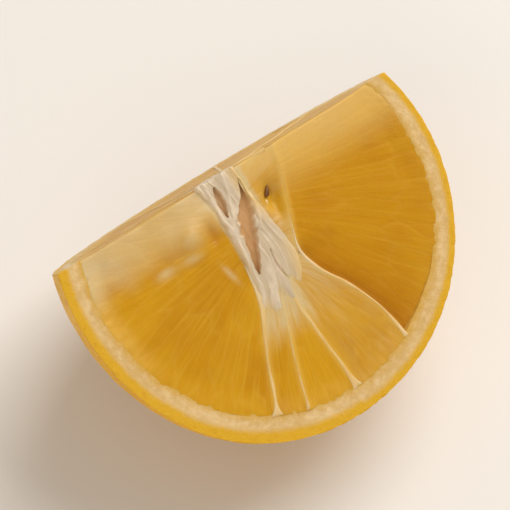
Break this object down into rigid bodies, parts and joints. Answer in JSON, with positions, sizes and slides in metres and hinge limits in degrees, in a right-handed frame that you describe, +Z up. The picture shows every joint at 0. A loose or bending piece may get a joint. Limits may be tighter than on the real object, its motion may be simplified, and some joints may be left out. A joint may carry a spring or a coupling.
{
  "type": "lemon wedge",
  "caption": "quarter of a round lemon cut lengthwise and across, lying on its peel, with pith, core and flesh segments in relief on both cut faces",
  "frame": {"origin": "on the small flat that the peel rests on, straight below the middle of the whole fruit", "axes": "+Z up, +X along the level top edge where the two cuts meet, -Y the way the fruit's tip points as it leans down"},
  "size_m": [0.0626, 0.0509, 0.0363],
  "materials": {
    "flesh": "wet, translucent",
    "peel": "waxy, pored",
    "pith": "moist, spongy",
    "core": "moist, fibrous",
    "seed": "dull"
  },
  "bodies": {
    "root": {"lemon_wedge": "flesh"}
  },
  "joints": []
}
